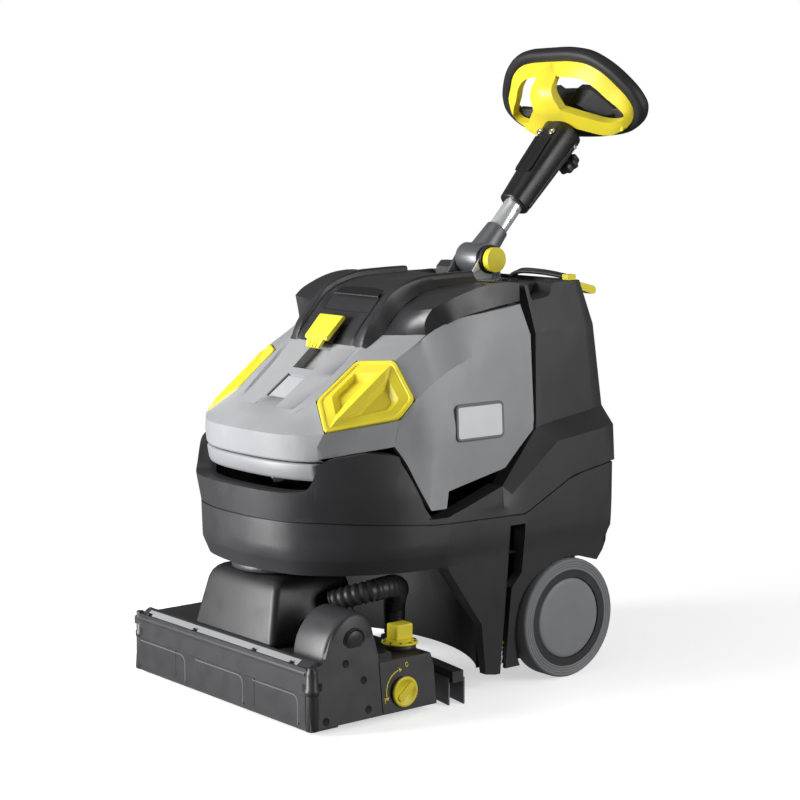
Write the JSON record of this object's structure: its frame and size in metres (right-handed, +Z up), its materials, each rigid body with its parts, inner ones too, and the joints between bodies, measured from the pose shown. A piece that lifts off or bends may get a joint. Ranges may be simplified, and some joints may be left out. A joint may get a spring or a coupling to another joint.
{
  "type": "floor scrubber machine",
  "caption": "Walk-behind roller scrubber-drier: shell body on two rear wheels, a turning scrub head under the nose, a hinged tank lid and a folding column with a steering wheel.",
  "frame": {"origin": "on the floor, under the middle of the machine's overall length and width", "axes": "+Z up; the nose of the machine faces -Y; +X is the machine's left side"},
  "size_m": [0.5, 0.8194, 1.0491],
  "materials": {
    "black_plastic": "fine-textured moulded charcoal plastic",
    "grey_plastic": "satin grey moulded plastic",
    "lid_plastic": "satin dark grey moulded plastic",
    "yellow_plastic": "satin yellow moulded plastic",
    "rubber_black": "soft black rubber",
    "tyre_rubber": "non-marking grey rubber",
    "cap_plastic": "satin grey cover",
    "chrome": "polished tube",
    "steel": "plain steel",
    "cast": "grey painted casting",
    "strip_plastic": "light grey strip",
    "blade_rubber": "grey squeegee rubber",
    "bristle": "nylon bristle",
    "clear_hose": "clear flexible hose",
    "white_plastic": "white plastic",
    "plate_film": "blank rating plate"
  },
  "bodies": {
    "chassis": {"lower_shell": "black_plastic", "fresh_water_tank": "black_plastic", "recovery_tank": "grey_plastic", "side_plates": "plate_film", "badge_plate": "plate_film", "battery_pack": "black_plastic", "suction_turbine": "black_plastic", "chassis_frame": "steel", "axle": "steel", "drain_fitting": "black_plastic", "drain_hose": "clear_hose", "drain_hose_ring": "yellow_plastic", "drain_plug": "white_plastic", "handle_cables": "rubber_black", "cable_clip": "yellow_plastic", "rear_hook": "yellow_plastic", "deck_fittings": "black_plastic", "column_bracket": "steel", "pivot_pin": "steel", "turntable_ring": "black_plastic"},
    "lid": {"tank_lid": "lid_plastic", "lid_seal": "rubber_black"},
    "latch": {"lid_latch": "yellow_plastic"},
    "cap_left": {"filler_cap_left": "yellow_plastic"},
    "cap_right": {"filler_cap_right": "yellow_plastic"},
    "wheel_left": {"tyre_left": "tyre_rubber", "wheel_hub_left": "black_plastic", "hub_cap_left": "cap_plastic"},
    "wheel_right": {"tyre_right": "tyre_rubber", "wheel_hub_right": "black_plastic", "hub_cap_right": "cap_plastic"},
    "column": {"column_socket": "cast", "column_tube": "chrome"},
    "fold_button": {"fold_button": "yellow_plastic"},
    "sleeve": {"column_sleeve": "black_plastic"},
    "clamp_knob": {"clamp_knob": "black_plastic"},
    "steering": {"steering_rim": "rubber_black", "steering_shell": "yellow_plastic", "steering_hub": "black_plastic"},
    "trigger_left": {"trigger_left": "black_plastic"},
    "trigger_right": {"trigger_right": "black_plastic"},
    "power_button": {"power_button": "white_plastic"},
    "head": {"head_housing": "black_plastic", "motor_dome": "black_plastic", "swivel_hub": "black_plastic", "front_box": "black_plastic", "front_strip": "strip_plastic", "drive_cover_left": "black_plastic", "side_cover_right": "black_plastic", "cover_screws": "steel", "brush_motor": "steel", "drive_belt": "rubber_black", "squeegee_beam": "black_plastic", "squeegee_blades": "blade_rubber", "suction_hose": "black_plastic"},
    "brush": {"brush_core": "black_plastic", "brush_bristles": "bristle"},
    "motor_pulley": {"motor_pulley": "steel"},
    "pressure_knob": {"pressure_knob": "yellow_plastic"},
    "squeegee_knob": {"squeegee_knob": "yellow_plastic"}
  },
  "joints": [
    {"name": "head_steer", "type": "hinge", "parent": "chassis", "child": "head", "pos_m": [0, -0.28485, 0.215], "axis": [0, 0, 1], "range_deg": [-100, 100]},
    {"name": "column_fold", "type": "hinge", "parent": "chassis", "child": "column", "pos_m": [0, 0.13615, 0.685], "axis": [1, 0, 0], "range_deg": [-10, 85]},
    {"name": "column_telescope", "type": "slide", "parent": "column", "child": "sleeve", "axis": [0, 0.682, 0.7314], "range_m": [-0.05, 0.08]},
    {"name": "steering_turn", "type": "hinge", "parent": "sleeve", "child": "steering", "pos_m": [0, 0.34075, 0.90441], "axis": [0, 0.682, 0.7314], "range_deg": [-100, 100]},
    {"name": "clamp_knob_turn", "type": "hinge", "parent": "sleeve", "child": "clamp_knob", "pos_m": [0, 0.34409, 0.84933], "axis": [0, 0.7314, -0.682], "range_deg": [0, 360]},
    {"name": "fold_button_push", "type": "slide", "parent": "chassis", "child": "fold_button", "axis": [-1, 0, 0], "range_m": [0, 0.005], "stiffness_N_per_m": 800},
    {"name": "trigger_left_pull", "type": "hinge", "parent": "steering", "child": "trigger_left", "pos_m": [0.05, 0.37724, 0.96806], "axis": [0, -0.5, 0.866], "range_deg": [0, 12], "stiffness_Nm_per_rad": 0.6},
    {"name": "trigger_right_pull", "type": "hinge", "parent": "steering", "child": "trigger_right", "pos_m": [-0.05, 0.37724, 0.96806], "axis": [0, 0.5, -0.866], "range_deg": [0, 12], "stiffness_Nm_per_rad": 0.6},
    {"name": "power_button_push", "type": "slide", "parent": "steering", "child": "power_button", "axis": [0, -0.866, -0.5], "range_m": [0, 0.002], "stiffness_N_per_m": 400},
    {"name": "lid_open", "type": "hinge", "parent": "chassis", "child": "lid", "pos_m": [0, 0.04515, 0.668], "axis": [-1, 0, 0], "range_deg": [0, 62]},
    {"name": "latch_flip", "type": "hinge", "parent": "lid", "child": "latch", "pos_m": [0, -0.17385, 0.606], "axis": [-1, 0, 0], "range_deg": [0, 60]},
    {"name": "cap_left_pull", "type": "slide", "parent": "chassis", "child": "cap_left", "axis": [0.699, -0.4194, 0.5792], "range_m": [0, 0.05]},
    {"name": "cap_right_pull", "type": "slide", "parent": "chassis", "child": "cap_right", "axis": [-0.699, -0.4194, 0.5792], "range_m": [0, 0.05]},
    {"name": "wheel_left_spin", "type": "hinge", "parent": "chassis", "child": "wheel_left", "pos_m": [0.217, 0.13415, 0.1], "axis": [1, 0, 0], "continuous": true},
    {"name": "wheel_right_spin", "type": "hinge", "parent": "chassis", "child": "wheel_right", "pos_m": [-0.217, 0.13415, 0.1], "axis": [1, 0, 0], "continuous": true},
    {"name": "brush_spin", "type": "hinge", "parent": "head", "child": "brush", "pos_m": [0, -0.30085, 0.05], "axis": [1, 0, 0], "continuous": true},
    {"name": "motor_pulley_spin", "type": "hinge", "parent": "head", "child": "motor_pulley", "pos_m": [0.218, -0.31285, 0.137], "axis": [1, 0, 0], "continuous": true},
    {"name": "pressure_knob_turn", "type": "hinge", "parent": "head", "child": "pressure_knob", "pos_m": [0.246, -0.22585, 0.04], "axis": [1, 0, 0], "range_deg": [0, 90]},
    {"name": "squeegee_knob_turn", "type": "hinge", "parent": "head", "child": "squeegee_knob", "pos_m": [0.182, -0.18485, 0.1], "axis": [0, 0, 1], "range_deg": [0, 90]}
  ],
  "couplings": [
    {"joint": "steering_turn", "follows": "head_steer", "ratio": 1},
    {"joint": "motor_pulley_spin", "follows": "brush_spin", "ratio": 1}
  ]
}
